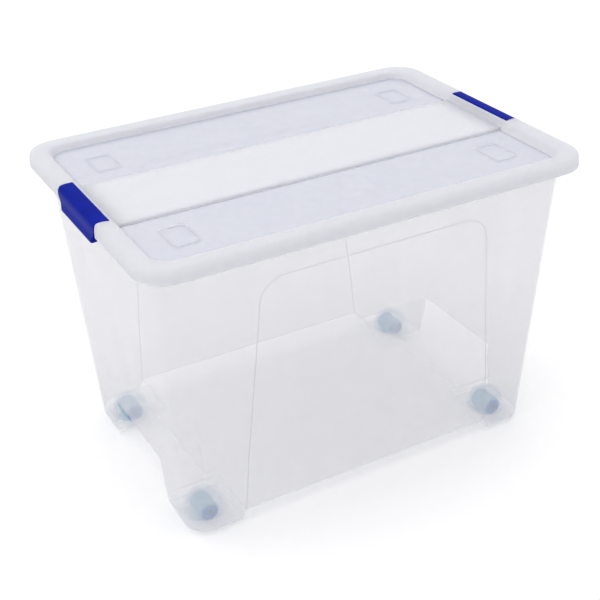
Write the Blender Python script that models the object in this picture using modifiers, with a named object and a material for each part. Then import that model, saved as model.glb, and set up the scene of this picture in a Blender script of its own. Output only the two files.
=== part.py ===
"""Storage box on rollers: a tall clear tub, a stepped lid, two hinged clips and four rollers on pins.

Metres, +Z up. The origin is on the floor under the middle of the box, +X runs along its length,
and the front long wall faces -Y. The box stands on its four rollers.
"""

import math

import bmesh
import bpy

# Overall sizes
LENGTH = 0.600
WIDTH = 0.4224
HEIGHT = 0.4081  # floor to the crest of the lid's rim
FOOT_GAP = 0.0085  # the rollers hold the feet this far off the floor
PLASTIC = 0.002  # wall thickness of the mouldings
GAP = 0.0003  # clearance between pieces that touch

# Tub
TUB_TOP = HEIGHT - 0.0065
RIM_BOTTOM = HEIGHT - 0.0217
RIM_HALF = (LENGTH / 2 - 0.0055, WIDTH / 2 - 0.005)
RIM_CORNER = 0.036
CLIP_RECESS = (0.2926, 0.063)  # rim behind a clip: its face, and half the recess's length
WALL_TOP_HALF = (0.2789, 0.1920)  # outside of the walls at RIM_BOTTOM
WALL_FOOT_HALF = (0.2559, 0.1718)  # outside of the walls at the foot bottoms
WALL_CORNER = 0.030
FLOOR_UNDER = FOOT_GAP + 0.0148
FLOOR_TOP = FLOOR_UNDER + PLASTIC
FOOT_X = (0.190, 0.183)  # inner end of a foot, at its bottom and at the floor
FOOT_Y = (0.0905, 0.0815)  # side of a foot beside the end notch, at its bottom and top
NOTCH_X = 0.200
NOTCH_TOP = FOOT_GAP + 0.0651
WALL_TIP = TUB_TOP - 0.0007
DRAFT_OUT = 0.0006  # a foot's inner end at the bottom of its cutter
REACH = 0.02  # how far a cutter runs past what it cuts
OVERLAP = 0.002  # how far a joined shape runs into its neighbour

# Wheel housings, rollers and their pins
ROLLER_RADIUS = 0.0135
ROLLER_LENGTH = 0.032
ROLLER_PLACE = (0.222, 0.126)
ROLLER_BORE = 0.0034
ROLLER_ROUNDING = 0.0015
PIN_RADIUS = 0.0030
DOME_RADII = (0.0260, 0.0235)  # at the foot bottom and at the top
DOME_TOP = FOOT_GAP + 0.028
DOME_ROUNDING = 0.014
POCKET_CORNER = 0.028
CHEEK_HALF = 0.010
CHEEK = 0.003

# Panel line engraved on the long walls
LINE_RADIUS = 0.0006
LINE_FOOT = (0.184, FLOOR_UNDER)
LINE_SHOULDER = (0.159, FOOT_GAP + 0.302)
LINE_TOP = FOOT_GAP + 0.3445
LINE_CORNER = 0.035
LINE_SIDE = ((0.166, FOOT_GAP + 0.219), (0.178, FOOT_GAP + 0.100))

# Lid
SKIRT_BOTTOM = HEIGHT - 0.0181
LID_CORNER = 0.041
WELL_TOP_HALF = (0.2757, 0.1887)  # mouth of the lid's stepped recess
WELL_FOOT_HALF = (0.2710, 0.1862)
WELL_CORNER = 0.027
WELL_WALL = 0.0016
PANEL_TOP = HEIGHT - 0.0115
BAND_TOP = HEIGHT - 0.0081
BAND_HALF = 0.062
STACK_PLACE = (0.220, 0.120)  # hollows that take the feet of a box above
STACK_HALF = (0.015, 0.023)
STACK_DEPTH = 0.0025
STACK_CORNER = 0.005
SEAT = HEIGHT - 0.0039  # where a clip's lip lies on the rim
SEAT_X = 0.2797
SEAT_HALF = 0.0623
SEAT_SPAN = (0.2775, 0.2985)  # the shelf that carries a clip's lip
SEAT_EDGE = (0.2975, 0.2940)  # outer edge of the shelf, and the start of its chamfer
BAND_UNDER_X = 0.266
CREST_INSET = 0.0019
CREST_ROUNDING = 0.003

# Clips
CLIP_HALF = (0.0500, 0.0615)  # half length at its bottom edge and along its lip
PIVOT_X = 0.2818
PIVOT_Z = HEIGHT - 0.0018
KNUCKLE = 0.0018
STUB_RADIUS = 0.0008
STUB_LENGTH = 0.0018
TAPER_DROPS = (0.010, 0.034)  # the clip narrows between these drops from the crest

PARTS = "roller_storage_box"
SIGNS = (("rear_right", 1, 1), ("rear_left", -1, 1), ("front_left", -1, -1), ("front_right", 1, -1))


def clear_scene():
    for obj in list(bpy.data.objects):
        bpy.data.objects.remove(obj, do_unlink=True)


def new_collection(name, shown=True):
    collection = bpy.data.collections.new(name)
    collection.hide_render = not shown
    bpy.context.scene.collection.children.link(collection)
    return collection


def plastic(name, colour, roughness, metallic=0.0, alpha=1.0):
    material = bpy.data.materials.new(name)
    material.use_nodes = True
    shader = material.node_tree.nodes["Principled BSDF"]
    shader.inputs["Base Color"].default_value = (*colour, 1.0)
    shader.inputs["Roughness"].default_value = roughness
    shader.inputs["Metallic"].default_value = metallic
    shader.inputs["Alpha"].default_value = alpha
    return material


def wall_half(z, inset=0.0):
    """Half sizes of the tub's tapered walls at a height."""
    share = (z - FOOT_GAP) / (RIM_BOTTOM - FOOT_GAP)
    return [low + (high - low) * share - inset for low, high in zip(WALL_FOOT_HALF, WALL_TOP_HALF)]


class Maker:
    """Makes pieces and cutters in their two collections."""

    def __init__(self):
        self.parts = new_collection(PARTS)
        self.tools = new_collection("cutters", shown=False)

    def add(self, name, mesh, tool=True, material=None):
        obj = bpy.data.objects.new(name, mesh)
        (self.tools if tool else self.parts).objects.link(obj)
        if tool:
            obj.hide_render = True
            obj.display_type = "WIRE"
        if material:
            mesh.materials.append(material)
        return obj

    def block(self, name, low, high, z_low, z_high, centre=(0, 0), corner=0.0, **place):
        """A block whose half sizes go from low to high, with its upright edges rounded."""
        shape = bmesh.new()
        bmesh.ops.create_cube(shape, size=2)
        for vert in shape.verts:
            half, z = (high, z_high) if vert.co.z > 0 else (low, z_low)
            vert.co = (centre[0] + vert.co.x * half[0], centre[1] + vert.co.y * half[1], z)
        if corner:
            upright = [e for e in shape.edges if abs(e.verts[0].co.z - e.verts[1].co.z) > 1e-5]
            bmesh.ops.bevel(shape, geom=upright, offset=corner, segments=8, profile=0.5, affect="EDGES")
        mesh = bpy.data.meshes.new(name)
        shape.to_mesh(mesh)
        shape.free()
        return self.add(name, mesh, **place)

    def cone(self, name, centre, radii, z_low, z_high, sides=32, round_top=0.0, **place):
        shape = bmesh.new()
        bmesh.ops.create_cone(
            shape, cap_ends=True, segments=sides, radius1=radii[0], radius2=radii[1], depth=z_high - z_low
        )
        bmesh.ops.translate(shape, verts=shape.verts, vec=(*centre, (z_low + z_high) / 2))
        if round_top:
            top = [e for e in shape.edges if min(v.co.z for v in e.verts) > z_high - 1e-5]
            bmesh.ops.bevel(shape, geom=top, offset=round_top, segments=4, profile=0.5, affect="EDGES")
        mesh = bpy.data.meshes.new(name)
        shape.to_mesh(mesh)
        shape.free()
        return self.add(name, mesh, **place)

    def rod(self, name, centre, radius, half_length, sides=24, **place):
        """A cylinder along Y."""
        obj = self.cone(name, (0, 0), (radius, radius), -half_length, half_length, sides, **place)
        obj.location = centre
        obj.rotation_euler = (math.pi / 2, 0, 0)
        return obj


def boolean(target, other, operation):
    modifier = target.modifiers.new(other.name, "BOOLEAN")
    modifier.operation = operation
    modifier.solver = "EXACT"
    modifier.object = other


def cut(target, *others):
    for other in others:
        boolean(target, other, "DIFFERENCE")


def join(target, *others):
    for other in others:
        boolean(target, other, "UNION")


def mirror_quarter(obj):
    """Keeps the quarter at +X +Y and mirrors it to the other three."""
    modifier = obj.modifiers.new("mirror", "MIRROR")
    modifier.use_axis = (True, True, False)
    modifier.use_bisect_axis = (True, True, False)
    modifier.use_bisect_flip_axis = (False, False, False)
    modifier.merge_threshold = 0.00001


def mesh_of_curve(maker, name, curve, tool, material=None):
    """Turns a curve's evaluated shape into a closed mesh."""
    holder = bpy.data.objects.new(name + "_curve", curve)
    bpy.context.scene.collection.objects.link(holder)
    graph = bpy.context.evaluated_depsgraph_get()
    mesh = bpy.data.meshes.new_from_object(holder.evaluated_get(graph))
    shape = bmesh.new()
    shape.from_mesh(mesh)
    bmesh.ops.remove_doubles(shape, verts=shape.verts, dist=1e-6)
    bmesh.ops.recalc_face_normals(shape, faces=shape.faces)
    shape.to_mesh(mesh)
    shape.free()
    mesh.materials.clear()
    bpy.data.objects.remove(holder)
    return maker.add(name, mesh, tool=tool, material=material)


def arc(centre, radius, start, end, steps):
    """Points from one angle to another, in degrees."""
    for step in range(steps + 1):
        angle = math.radians(start + (end - start) * step / steps)
        yield centre[0] + radius * math.cos(angle), centre[1] + radius * math.sin(angle)


def panel_line(maker):
    """The tube that engraves half of the arch on the rear wall, from the middle down to the foot."""
    corner_x = LINE_SHOULDER[0] - LINE_CORNER
    outline = [(-0.010, LINE_TOP), (corner_x, LINE_TOP)]
    outline += list(arc((corner_x, LINE_TOP - LINE_CORNER), LINE_CORNER, 80, 8, 6))
    outline += [LINE_SHOULDER, *LINE_SIDE, LINE_FOOT]
    outline += [(LINE_FOOT[0] + 0.0003, LINE_FOOT[1] - 0.006)]
    curve = bpy.data.curves.new("panel_line", "CURVE")
    curve.dimensions = "3D"
    curve.bevel_depth = LINE_RADIUS
    curve.bevel_resolution = 2
    curve.use_fill_caps = True
    spline = curve.splines.new("POLY")
    spline.points.add(len(outline) - 1)
    for point, (x, z) in zip(spline.points, outline):
        point.co = (x, wall_half(z)[1], z, 1)
    return mesh_of_curve(maker, "panel_line_cut", curve, tool=True)


def make_cavity(maker):
    """The inside of the tub down into its feet, without the raised ends and the wheel housings."""
    top = TUB_TOP + REACH
    cavity = maker.block(
        "cavity_cut", wall_half(FLOOR_TOP, PLASTIC), wall_half(top, PLASTIC), FLOOR_TOP, top,
        corner=WALL_CORNER - PLASTIC,
    )
    end = maker.block(
        "end_platform", (0.1, FOOT_Y[0] + PLASTIC), (0.1, FOOT_Y[1] + PLASTIC),
        FLOOR_TOP - OVERLAP, NOTCH_TOP + PLASTIC, centre=(NOTCH_X - PLASTIC + 0.1, 0),
    )
    inner = (FOOT_X[0] + PLASTIC, FOOT_Y[0] + PLASTIC)
    outer = wall_half(FOOT_GAP, PLASTIC)
    half = [(a - b) / 2 for a, b in zip(outer, inner)]
    middle = [(a + b) / 2 for a, b in zip(outer, inner)]
    pocket = maker.block("foot_pocket", half, half, FOOT_GAP + PLASTIC, FLOOR_TOP + OVERLAP,
                         centre=middle, corner=POCKET_CORNER)
    dome = maker.cone("wheel_dome", ROLLER_PLACE, DOME_RADII, 0, DOME_TOP, round_top=DOME_ROUNDING)
    join(cavity, pocket)
    cut(cavity, end, dome)
    return cavity


def make_wheel_hollow(maker):
    """The open underside of a wheel housing, without the cheeks that hold the pin."""
    x, y = ROLLER_PLACE
    hollow = maker.cone(
        "dome_cut", ROLLER_PLACE, [r - PLASTIC for r in DOME_RADII], 0, DOME_TOP - PLASTIC,
        round_top=DOME_ROUNDING - PLASTIC / 2,
    )
    inside = ROLLER_LENGTH / 2 + 3 * GAP
    for side in (-1, 1):
        cheek = maker.block(
            f"cheek_{side}", (CHEEK_HALF, CHEEK / 2), (CHEEK_HALF, CHEEK / 2), FOOT_GAP, DOME_TOP,
            centre=(x, y + side * (inside + CHEEK / 2)),
        )
        cut(hollow, cheek)
    return hollow


def make_tub(maker, material):
    tub = maker.block("tub", RIM_HALF, RIM_HALF, RIM_BOTTOM, TUB_TOP, corner=RIM_CORNER,
                      tool=False, material=material)
    channel = [half - PLASTIC for half in RIM_HALF]
    under_rim = maker.block("rim_channel_cut", channel, channel, RIM_BOTTOM - 0.01, TUB_TOP - PLASTIC,
                            corner=RIM_CORNER - PLASTIC)
    recess_half = (REACH, CLIP_RECESS[1])
    clip_recess = maker.block("clip_recess_cut", recess_half, recess_half, RIM_BOTTOM - 0.01,
                              SKIRT_BOTTOM + 2 * PLASTIC, centre=(CLIP_RECESS[0] + REACH, 0))
    walls = maker.block("walls_join", wall_half(FOOT_GAP), wall_half(WALL_TIP), FOOT_GAP, WALL_TIP,
                        corner=WALL_CORNER)
    belly = maker.block("belly_cut", (FOOT_X[0] + DRAFT_OUT, WIDTH), (FOOT_X[1], WIDTH),
                        FOOT_GAP - 0.0013, FLOOR_UNDER)
    strip_half = (NOTCH_X + OVERLAP, FOOT_Y[0])
    strip = maker.block("belly_strip_cut", strip_half, strip_half, -0.01, FLOOR_UNDER)
    notch = maker.block("end_notch_cut", (0.1, FOOT_Y[0]), (0.1, FOOT_Y[1]), FOOT_GAP - 0.001,
                        NOTCH_TOP, centre=(NOTCH_X + 0.1, 0))
    bore = maker.rod("pin_hole_cut", (*ROLLER_PLACE, ROLLER_RADIUS), PIN_RADIUS + GAP,
                     ROLLER_LENGTH / 2 + 0.0055)
    cut(tub, under_rim, clip_recess)
    join(tub, walls)
    cut(tub, make_cavity(maker), belly, strip, notch, make_wheel_hollow(maker), bore, panel_line(maker))
    mirror_quarter(tub)
    return tub


def make_lid_well(maker):
    """The lid's recess above its panels, without the raised middle band."""
    slope = [(a - b) / (HEIGHT - PANEL_TOP) for a, b in zip(WELL_TOP_HALF, WELL_FOOT_HALF)]
    rise = 0.004
    high = [a + s * rise for a, s in zip(WELL_TOP_HALF, slope)]
    well = maker.block("lid_well_cut", WELL_FOOT_HALF, high, PANEL_TOP, HEIGHT + rise, corner=WELL_CORNER)
    band = maker.block("band_keep", (0.4, BAND_HALF + 0.001), (0.4, BAND_HALF), PANEL_TOP - 0.002, BAND_TOP)
    cut(well, band)
    return well


def make_lid(maker, material):
    outer = (LENGTH / 2, WIDTH / 2)
    crest = [half - CREST_INSET for half in outer]
    lid = maker.block("lid", outer, crest, SKIRT_BOTTOM, HEIGHT, corner=LID_CORNER,
                      tool=False, material=material)
    rounding = lid.modifiers.new("rim_edge", "BEVEL")
    rounding.width = CREST_ROUNDING
    rounding.segments = 3
    rounding.limit_method = "WEIGHT"
    weights = lid.data.attributes.new("bevel_weight_edge", "FLOAT", "EDGE")
    for edge, weight in zip(lid.data.edges, weights.data):
        at_top = all(lid.data.vertices[v].co.z > HEIGHT - 1e-5 for v in edge.vertices)
        weight.value = 1.0 if at_top else 0.0
    hollow = [half - PLASTIC for half in outer]
    hollow_top = [half - PLASTIC for half in crest]
    under = maker.block("lid_under_cut", hollow, hollow_top, SKIRT_BOTTOM - 0.01, HEIGHT - PLASTIC,
                        corner=LID_CORNER - PLASTIC)
    plug_low = [half + WELL_WALL for half in WELL_FOOT_HALF]
    plug_high = [half + WELL_WALL for half in WELL_TOP_HALF]
    plug = maker.block("lid_plug_join", plug_low, plug_high, PANEL_TOP - PLASTIC, HEIGHT - 0.0006,
                       corner=WELL_CORNER + WELL_WALL)
    shelf_half = ((SEAT_SPAN[1] - SEAT_SPAN[0]) / 2, SEAT_HALF + OVERLAP)
    seat = maker.block("clip_seat_join", shelf_half, shelf_half, SEAT - PLASTIC, HEIGHT - 0.0008,
                       centre=(sum(SEAT_SPAN) / 2, 0))
    cut_half = (REACH, SEAT_HALF)
    chamfer_half = (REACH + SEAT_EDGE[0] - SEAT_EDGE[1], SEAT_HALF)
    past_edge = (SEAT_EDGE[0] + REACH, 0)
    notch = maker.block("clip_notch_cut", cut_half, cut_half, SEAT, HEIGHT + 0.01,
                        centre=(SEAT_X + REACH, 0))
    skirt_gap = maker.block("clip_skirt_cut", cut_half, cut_half, SKIRT_BOTTOM - 0.01, HEIGHT + 0.01,
                            centre=past_edge)
    seat_edge = maker.block("seat_edge_cut", cut_half, chamfer_half, SEAT - 0.0035, SEAT + 0.0005,
                            centre=past_edge)
    stub_hole = maker.rod("stub_hole_cut", (PIVOT_X, 0, PIVOT_Z), STUB_RADIUS + GAP, SEAT_HALF + 0.0014,
                          sides=12)
    pad_half = [half + PLASTIC for half in STACK_HALF]
    pad = maker.block("stack_pad_join", pad_half, pad_half, PANEL_TOP - STACK_DEPTH - PLASTIC,
                      PANEL_TOP - PLASTIC / 2, centre=STACK_PLACE, corner=STACK_CORNER + PLASTIC)
    stack = maker.block("stack_hollow_cut", STACK_HALF, STACK_HALF, PANEL_TOP - STACK_DEPTH,
                        PANEL_TOP + 0.001, centre=STACK_PLACE, corner=STACK_CORNER)
    under_half = (BAND_UNDER_X, BAND_HALF - PLASTIC)
    band_under = maker.block("band_under_cut", under_half, under_half, PANEL_TOP - 0.01,
                             BAND_TOP - PLASTIC)
    cut(lid, under)
    join(lid, plug, seat)
    cut(lid, make_lid_well(maker))
    join(lid, pad)
    cut(lid, stack, band_under, notch, skirt_gap, seat_edge, stub_hole)
    mirror_quarter(lid)
    return lid


def clip_outline():
    """The clip's section, as (distance out from the box's middle, height)."""
    def at(x, drop):
        return x, HEIGHT - drop

    outline = list(arc((PIVOT_X, PIVOT_Z), KNUCKLE, 270, 90, 8))
    outline += [at(0.2915, 0.0002)]
    outline += list(arc(at(0.2935, 0.0074), 0.0068, 80, 12, 5))
    outline += [at(0.3008, 0.0120), at(0.3004, 0.0190), at(0.3012, 0.0225), at(0.3024, 0.0258)]
    outline += [at(0.3022, 0.0282), at(0.3008, 0.0294), at(0.2950, 0.0294)]
    outline += [at(0.2930, 0.0284), at(0.2930, 0.0228)]
    outline += [at(0.2979, 0.0190)]
    outline += list(arc(at(0.2954, 0.0061), 0.0025, 0, 90, 4))
    return outline


def make_clip(maker, name, side, material):
    """A clip round the lid's rim, its origin on the pivot at its inner edge."""
    curve = bpy.data.curves.new(name, "CURVE")
    curve.dimensions = "2D"
    curve.fill_mode = "BOTH"
    curve.extrude = CLIP_HALF[1]
    spline = curve.splines.new("POLY")
    outline = clip_outline()
    spline.points.add(len(outline) - 1)
    spline.use_cyclic_u = True
    for point, (x, z) in zip(spline.points, outline):
        point.co = (x - PIVOT_X, z - PIVOT_Z, 0, 1)
    clip = mesh_of_curve(maker, name, curve, tool=False, material=material)
    clip.location = (side * PIVOT_X, 0, PIVOT_Z)
    clip.rotation_euler = (math.pi / 2, 0, 0 if side > 0 else math.pi)
    around = 0.05
    low, high = ((around, half) for half in CLIP_HALF)
    taper_top, taper_bottom = (HEIGHT - drop for drop in TAPER_DROPS)
    taper = maker.block(f"{name}_taper", low, high, taper_bottom, taper_top, centre=(side * PIVOT_X, 0))
    upper = maker.block(f"{name}_upper", high, high, taper_top - 0.0001, HEIGHT + 0.01,
                        centre=(side * PIVOT_X, 0))
    join(taper, upper)
    boolean(clip, taper, "INTERSECT")
    for end in (-1, 1):
        stub = maker.rod(f"{name}_stub_{end}", (side * PIVOT_X, end * CLIP_HALF[1], PIVOT_Z),
                         STUB_RADIUS, STUB_LENGTH, sides=12)
        join(clip, stub)
    return clip


def make_roller(maker, name, x, y, material):
    """A roller with rounded rims, bored for its pin, its origin on its axis."""
    half = ROLLER_LENGTH / 2
    edge = (ROLLER_RADIUS - ROLLER_ROUNDING, half - ROLLER_ROUNDING)
    profile = [(ROLLER_BORE, half), (edge[0], half), *arc(edge, ROLLER_ROUNDING, 60, 0, 2)]
    profile += [(r, -z) for r, z in reversed(profile)]
    mesh = bpy.data.meshes.new(name)
    count = len(profile)
    mesh.from_pydata([(r, 0, z) for r, z in profile], [(i, (i + 1) % count) for i in range(count)], [])
    roller = maker.add(name, mesh, tool=False, material=material)
    turn = roller.modifiers.new("turn", "SCREW")
    turn.steps = turn.render_steps = 40
    turn.screw_offset = 0
    turn.use_merge_vertices = True
    turn.merge_threshold = 0.00001
    roller.location = (x, y, ROLLER_RADIUS)
    roller.rotation_euler = (math.pi / 2, 0, 0)
    return roller


def main():
    clear_scene()
    maker = Maker()
    clear_plastic = plastic("clear_plastic", (0.86, 0.88, 0.91), 0.18, alpha=0.45)
    frosted_plastic = plastic("frosted_plastic", (0.88, 0.89, 0.92), 0.35, alpha=0.8)
    blue_plastic = plastic("blue_plastic", (0.012, 0.025, 0.30), 0.30)
    grey_plastic = plastic("grey_plastic", (0.45, 0.56, 0.64), 0.40)
    steel = plastic("steel", (0.42, 0.43, 0.45), 0.35, metallic=1.0)
    make_tub(maker, clear_plastic)
    make_lid(maker, frosted_plastic)
    for name, side in (("clip_left", -1), ("clip_right", 1)):
        make_clip(maker, name, side, blue_plastic)
    for corner, side_x, side_y in SIGNS:
        x, y = side_x * ROLLER_PLACE[0], side_y * ROLLER_PLACE[1]
        make_roller(maker, f"roller_{corner}", x, y, grey_plastic)
        maker.rod(f"axle_pin_{corner}", (x, y, ROLLER_RADIUS), PIN_RADIUS,
                  ROLLER_LENGTH / 2 + CHEEK + 0.0005, tool=False, material=steel)


main()
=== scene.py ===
"""Rolling storage box with a clip lid: the fine visible model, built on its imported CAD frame."""

import math

import bmesh
import bpy
from bpy.props import FloatProperty, FloatVectorProperty, PointerProperty
from mathutils import Matrix, Vector


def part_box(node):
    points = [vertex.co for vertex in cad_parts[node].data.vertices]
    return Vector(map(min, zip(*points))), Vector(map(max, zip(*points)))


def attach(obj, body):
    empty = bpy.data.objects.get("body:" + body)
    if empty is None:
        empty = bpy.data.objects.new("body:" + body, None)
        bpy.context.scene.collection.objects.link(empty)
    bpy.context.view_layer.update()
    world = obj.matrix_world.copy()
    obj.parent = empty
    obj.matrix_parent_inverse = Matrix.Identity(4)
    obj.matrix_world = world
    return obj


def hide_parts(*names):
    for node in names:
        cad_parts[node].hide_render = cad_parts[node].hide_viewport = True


bl_info = {
    "name": "Rolling storage box",
    "version": (1, 0, 0),
    "blender": (4, 5, 0),
    "location": "View3D > Sidebar > Storage Box",
    "description": "Builds a clear storage box with a stepped lid, two clips and four rollers",
    "category": "Add Mesh",
}

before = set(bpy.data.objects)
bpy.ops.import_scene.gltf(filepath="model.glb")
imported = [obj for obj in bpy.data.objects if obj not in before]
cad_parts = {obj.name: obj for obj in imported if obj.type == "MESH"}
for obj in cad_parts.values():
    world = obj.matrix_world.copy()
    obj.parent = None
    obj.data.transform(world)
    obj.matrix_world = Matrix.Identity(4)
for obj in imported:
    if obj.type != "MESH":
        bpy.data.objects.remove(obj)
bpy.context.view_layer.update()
MM = 0.001

# Places read from the frame
LID_LOW, LID_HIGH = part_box("lid")
TUB_LOW, TUB_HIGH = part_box("tub")
CLIP_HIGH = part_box("clip_right")[1]
ROLLER_LOW, ROLLER_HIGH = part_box("roller_rear_right")
PIN_LOW, PIN_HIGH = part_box("axle_pin_rear_right")
CREST = LID_HIGH.z
LID_HALF = (LID_HIGH.x, LID_HIGH.y)
RIM_HALF = (TUB_HIGH.x, TUB_HIGH.y)
FOOT = TUB_LOW.z
CORNERS = (("rear_right", 1, 1), ("rear_left", -1, 1), ("front_left", -1, -1), ("front_right", 1, -1))

# Tub
RIM_BOTTOM = CREST - 21.7 * MM
TUB_TOP = TUB_HIGH.z
WALL_TOP_HALF = (278.9 * MM, 192.0 * MM)
WALL_FOOT_HALF = (255.9 * MM, 171.8 * MM)
WALL_CORNER = 30 * MM
RIM_CORNER = 36 * MM
FLOOR_UNDER = FOOT + 14.8 * MM
NOTCH_TOP = FOOT + 65.1 * MM
FOOT_INNER_X = (190 * MM, 183 * MM)
FOOT_SIDE_Y = (90.5 * MM, 81.5 * MM)
NOTCH_SIDE_STRAIGHT = FOOT + 40 * MM
END_PANEL_Y = 84 * MM
END_PANEL_DEPTH = 0.9 * MM
CLIP_RECESS = (63 * MM, 292.6 * MM)
WALL_SHARES = (0.01, 0.03, 0.08, 0.16, 0.28, 0.42, 0.56, 0.70, 0.82, 0.92)
TINY_STEP = 0.01 * MM
RAISED_END_X = 198 * MM
RAISED_END_DRAFT = 2.5 * MM
RAISED_END_ROUNDING = 5 * MM
FOOT_CORNER = 28 * MM
FOOT_INNER_CORNER = 9 * MM
FOOT_WALL_DRAFT = 3.3 * MM
ARCH_FOOT_X = 184 * MM
ARCH_CORNER = 35 * MM
ARCH_TOP = 344.5 * MM
ARCH_SHOULDER = 159 * MM
ARCH_SIDE = ((178.2, 100), (170, 185), (162.5, 265), (159, 302))

# Wheel housings
DOME_BASE = 26 * MM
DOME_SHOULDER = 23.6 * MM
DOME_BEND = 15 * MM
DOME_TIP = 0.3 * MM
DOME_LIFT = 0.2 * MM
CHEEK_THICK = 1.4 * MM
CHEEK_WIDTH = (9 * MM, 5 * MM)
CHEEK_HEIGHT = (0.5 * MM, 21 * MM)
CHEEK_FROM_PIN_END = 2.0 * MM

# Lid
LID_CORNER = 41 * MM
SKIRT_BOTTOM = LID_LOW.z
WELL_TOP_HALF = (275.7 * MM, 188.7 * MM)
WELL_FOOT_HALF = (271.0 * MM, 186.2 * MM)
WELL_CORNER = 27 * MM
PANEL_DROP = 11.5 * MM
BAND_DROP = 8.1 * MM
BAND_HALF = 62 * MM
STACK_PLACE = (220 * MM, 120 * MM)
STACK_HALF = (15 * MM, 23 * MM)
SEAT_DROP = 3.9 * MM
SEAT_X = 279.7 * MM
SEAT_HALF = 62.3 * MM
SEAT_OUT_X = 297.5 * MM
SEAT_STEP = 0.02 * MM
SEAT_EDGE_DROP = 1.0 * MM
STACK_CORNER = 5 * MM
STACK_DEPTH = 2.3 * MM
STACK_WALL = 2.2 * MM
STACK_LIP = 0.5 * MM
BEAD_RADIUS = 0.75 * MM
BEAD_OUT = 1.2 * MM
BEAD_LIFT = 0.25 * MM

# Lid sections in millimetres: in from the outside and down from the crest
LID_SIDE = ((0.15, 10), (0.9, 5), (1.6, 3.0), (2.6, 1.4), (4.2, 0.5), (6.5, 0.1), (10, 0), (15, 0.3))

# The lid's well: share of the way down, growth and fall, the last two in millimetres
WELL_LIP = ((0, 0.9, 1.5), (0.02, 0.2, 2.2), (0.1, 0, 3.4), (0.5, 0, 7))

# The band's rolled edge in millimetres: out from its side and down from its top
BAND_EDGE = ((0, 1.0), (-0.4, 0.35), (-1.3, 0))

# Clip sections in millimetres: out from the middle and down from the crest
CLIP_TOP = ((285, 0.02), (288.5, 0.1), (291.5, 0.2))
CLIP_OUTSIDE = ((300.7, 11), (300.4, 15.5), (300.5, 19), (301.2, 22.5), (302.1, 25.4))
CLIP_FOOT = ((302.4, 27.3), (301.8, 28.8), (300.2, 29.4), (297.5, 29.4), (294.4, 29.2))
CLIP_HOOK = ((293.2, 28.2), (293.0, 26), (293.0, 23.4), (293.8, 22.3))
CLIP_INSIDE = ((297.2, 19.8), (297.9, 18), (297.9, 12), (297.9, 6.5))
CLIP_UNDER_TOP = ((290, 3.6), (285, 3.6))
KNUCKLE = (281.8 * MM, 1.8 * MM)
KNUCKLE_RADIUS = 1.8 * MM
CLIP_BEND = (293.5 * MM, 7.4 * MM, 6.8 * MM)
CLIP_INNER_BEND = (295.4 * MM, 6.1 * MM, 2.5 * MM)
CLIP_FOOT_HALF = 50 * MM
CLIP_TAPER = (10 * MM, 29 * MM)
CLIP_END_PULL = 0.18
CLIP_ENDS = ((-1.0, 0.86), (-0.996, 0.94), (-0.988, 0.985), (-0.976, 1.0), (-0.6, 1.0), (-0.2, 1.0))

# Rollers and pins
LAID_DOWN = Matrix.Rotation(math.radians(90), 3, "X").to_euler()
BORE_GAP = 0.4 * MM
HUB_SHARE = 0.5
HUB_FACE_EDGE = 2.3 * MM

# Roller and pin sections in millimetres: out from the bore or in from the outside, and in from the end
ROLLER_HUB = ((0, 0.6), (0.4, 0), (2.0, 0), (2.5, 0.8), (3.0, 2.0))
ROLLER_TREAD = ((3.2, 2.0), (2.8, 0.5), (2.2, 0), (1.4, 0), (0.6, 0.35), (0.15, 1.1), (0, 2.2))
PIN_END = ((0.8, 0), (0.3, 0.15), (0, 0.7))
PIN_MIDDLE = 0.2 * MM

# Scales of the finishes' detail, in cells to the metre
HAZE, STREAK, RIPPLE = 14, 34, 55
FROST_GRAIN, FROST_CLOUD = 1400, 20
CLIP_GRAIN, CLIP_RUB = 900, 45
ROLLER_SCUFF, ROLLER_GRAIN = 160, 1200
STEEL_LINES = 600
PAPER_GRAIN = 60
DOWN_DRAWN = (1, 1, 0.12)
TREAD_DRAWN = (1, 0.3, 1)
PIN_DRAWN = (1, 0.04, 1)
PLASTIC_IOR = 1.49

# Stage
CAMERA_PLACE = (-0.6542, -1.2178, FOOT + 0.9773)
CAMERA_TURN = (-28.016, -30.009, -1.9185)
CAMERA_LENS = 70.16
LIGHT_PLACE, LIGHT_TARGET, LIGHT_SIZE, LIGHT_POWER = (-1.0, 0.5, 6.0), (0, 0, 0.2), 8, 210
WORLD_STRENGTH = 0.85
FLOOR_HALF = 12
CLEAR_SURFACES = 48


class BoxSizes(bpy.types.PropertyGroup):
    """Sizes that a maker may vary without touching the frame."""

    wall: FloatProperty(name="Wall", description="Thickness of the moulded walls", default=2.0 * MM,
                        min=0.001, max=0.004, subtype="DISTANCE")
    lid_wall: FloatProperty(name="Lid wall", description="Thickness of the lid's moulding",
                            default=1.8 * MM, min=0.001, max=0.003, subtype="DISTANCE")
    edge: FloatProperty(name="Edge rounding", description="Radius on the moulded edges",
                        default=0.7 * MM, min=0.0002, max=0.0015, subtype="DISTANCE")
    line: FloatProperty(name="Panel line", description="Radius of the line moulded on the long walls",
                        default=0.55 * MM, min=0.0002, max=0.001, subtype="DISTANCE")
    dome_height: FloatProperty(name="Wheel dome height", description="Dome top above the foot's bottom",
                               default=28 * MM, min=0.027, max=0.03, subtype="DISTANCE")


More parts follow.
